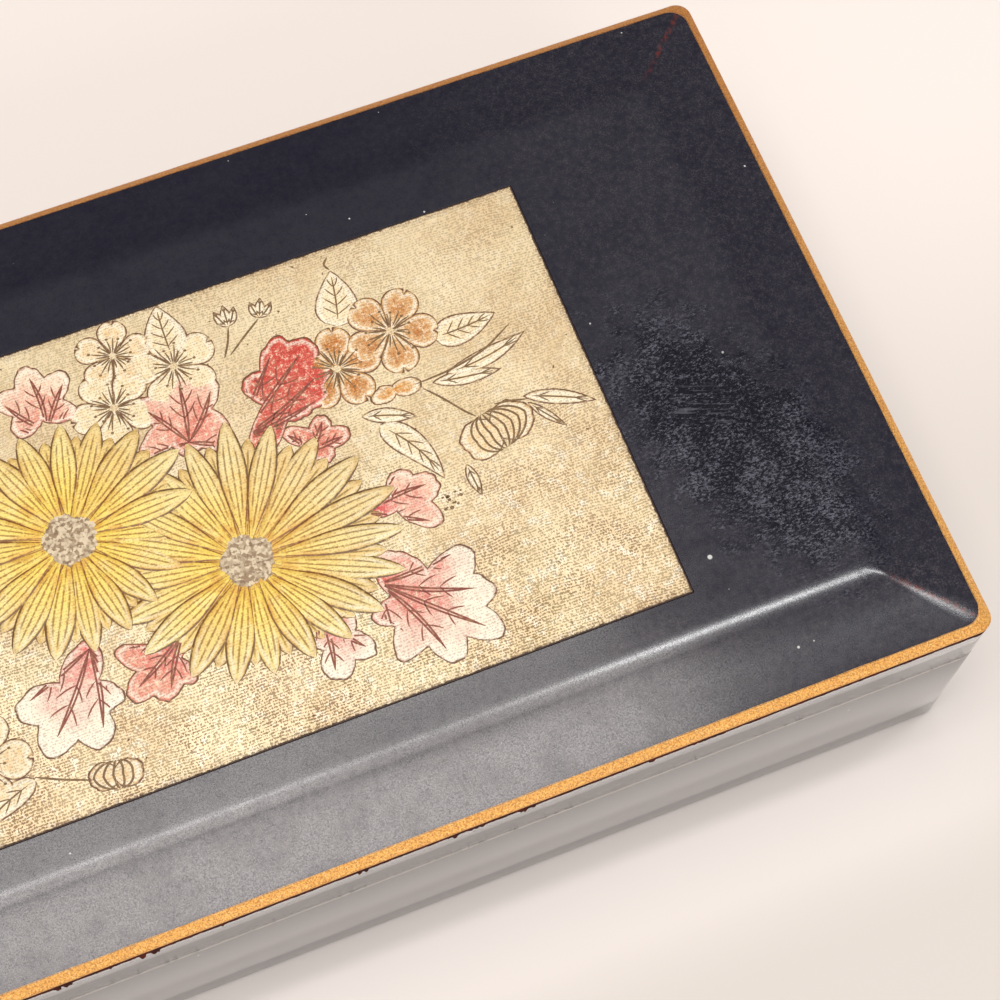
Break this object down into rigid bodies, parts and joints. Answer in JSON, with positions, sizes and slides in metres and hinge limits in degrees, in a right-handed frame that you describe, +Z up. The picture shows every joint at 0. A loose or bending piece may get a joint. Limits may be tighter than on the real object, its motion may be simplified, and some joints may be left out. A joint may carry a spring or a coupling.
{
  "type": "musical jewelry box",
  "caption": "Black lacquer jewelry box with a hinged bevelled lid, gilt edge, engraved flower panel, velvet-lined compartments and a key-wound musical movement.",
  "frame": {"origin": "under the middle of the closed box, on the table", "axes": "+X to the right along the box's length, +Y to the back where the hinges are, +Z up"},
  "size_m": [0.24, 0.1438, 0.0557],
  "materials": {
    "lacquer": "high-gloss black lacquer over wood",
    "gilt_edge": "hand-laid gold lacquer, fine speckle",
    "engraved_panel": "pale gold engraved metal with coloured flowers",
    "bare_board": "bare softwood",
    "felt": "pressed felt",
    "velvet": "short red velvet",
    "lid_velvet": "red velvet over card",
    "mirror_glass": "silvered glass with a bevelled edge",
    "clear_cover": "clear moulded plastic",
    "brass": "polished brass",
    "steel": "bright steel",
    "cast_zinc": "satin die casting"
  },
  "bodies": {
    "case": {"body_case": "lacquer", "base_board": "bare_board", "corner_block_front_left": "bare_board", "corner_block_front_right": "bare_board", "corner_block_back_left": "bare_board", "corner_block_back_right": "bare_board", "felt_foot_front_left": "felt", "felt_foot_front_right": "felt", "felt_foot_back_left": "felt", "felt_foot_back_right": "felt", "wall_liner": "velvet", "floor_liner": "velvet", "divider_long": "velvet", "divider_left_front": "velvet", "divider_left_back": "velvet", "divider_right_back": "velvet", "ring_roll_1": "velvet", "ring_roll_2": "velvet", "ring_roll_3": "velvet", "ring_roll_4": "velvet", "ring_roll_5": "velvet", "movement_cover": "clear_cover", "stop_rod_bush": "brass", "comb_screw_1": "brass", "comb_screw_2": "brass", "hinge_pin_left": "brass", "hinge_pin_right": "brass", "hinge_body_leaf_left": "brass", "hinge_body_leaf_right": "brass", "hinge_body_screw_left_1": "brass", "hinge_body_screw_left_2": "brass", "hinge_body_screw_right_1": "brass", "hinge_body_screw_right_2": "brass", "comb": "steel", "movement_screw_1": "steel", "movement_screw_2": "steel", "movement_screw_3": "steel", "movement_bedplate": "cast_zinc", "governor_bracket": "cast_zinc"},
    "lid": {"lid_shell": "lacquer", "gold_edge_band": "gilt_edge", "inlay_panel": "engraved_panel", "lid_liner": "lid_velvet", "mirror": "mirror_glass", "hinge_lid_leaf_left": "brass", "hinge_lid_leaf_right": "brass", "hinge_lid_screw_left_1": "brass", "hinge_lid_screw_left_2": "brass", "hinge_lid_screw_right_1": "brass", "hinge_lid_screw_right_2": "brass"},
    "barrel": {"barrel_gear": "brass", "spring_drum": "brass", "mainspring": "steel"},
    "key": {"winding_arbor": "steel", "winding_key": "brass"},
    "cylinder": {"pin_cylinder": "brass"},
    "governor": {"governor_wheel": "brass"},
    "fan": {"governor_fan": "steel"},
    "stop_lever": {"stop_lever": "steel"},
    "stop_rod": {"stop_rod": "steel"}
  },
  "joints": [
    {"name": "lid_hinge", "type": "hinge", "parent": "case", "child": "lid", "pos_m": [0, 0.07013, 0.03765], "axis": [-1, 0, 0], "range_deg": [0, 95]},
    {"name": "key_turn", "type": "hinge", "parent": "case", "child": "key", "pos_m": [-0.0906, 0.03152, 0.017], "axis": [0, 0, 1], "continuous": true},
    {"name": "barrel_spin", "type": "hinge", "parent": "case", "child": "barrel", "pos_m": [-0.0906, 0.03152, 0.017], "axis": [0, 0, 1], "continuous": true},
    {"name": "cylinder_spin", "type": "hinge", "parent": "case", "child": "cylinder", "pos_m": [-0.0764, 0.03152, 0.02636], "axis": [1, 0, 0], "continuous": true},
    {"name": "governor_spin", "type": "hinge", "parent": "case", "child": "governor", "pos_m": [-0.0764, 0.03913, 0.02636], "axis": [1, 0, 0], "continuous": true},
    {"name": "fan_spin", "type": "hinge", "parent": "case", "child": "fan", "pos_m": [-0.0507, 0.04412, 0.017], "axis": [0, 0, 1], "continuous": true},
    {"name": "stop_lever_swing", "type": "hinge", "parent": "case", "child": "stop_lever", "pos_m": [-0.0609, 0.04412, 0.0333], "axis": [0, 1, 0], "range_deg": [0, 14]},
    {"name": "stop_rod_slide", "type": "slide", "parent": "case", "child": "stop_rod", "axis": [0, 0, 1], "range_m": [0, 0.003]}
  ],
  "couplings": [
    {"joint": "cylinder_spin", "follows": "barrel_spin", "ratio": 3.5},
    {"joint": "governor_spin", "follows": "barrel_spin", "ratio": -10.5},
    {"joint": "fan_spin", "follows": "barrel_spin", "ratio": 126},
    {"joint": "stop_lever_swing", "follows": "lid_hinge", "ratio": 0.147},
    {"joint": "stop_rod_slide", "follows": "lid_hinge", "m_per_rad": 0.0018}
  ]
}
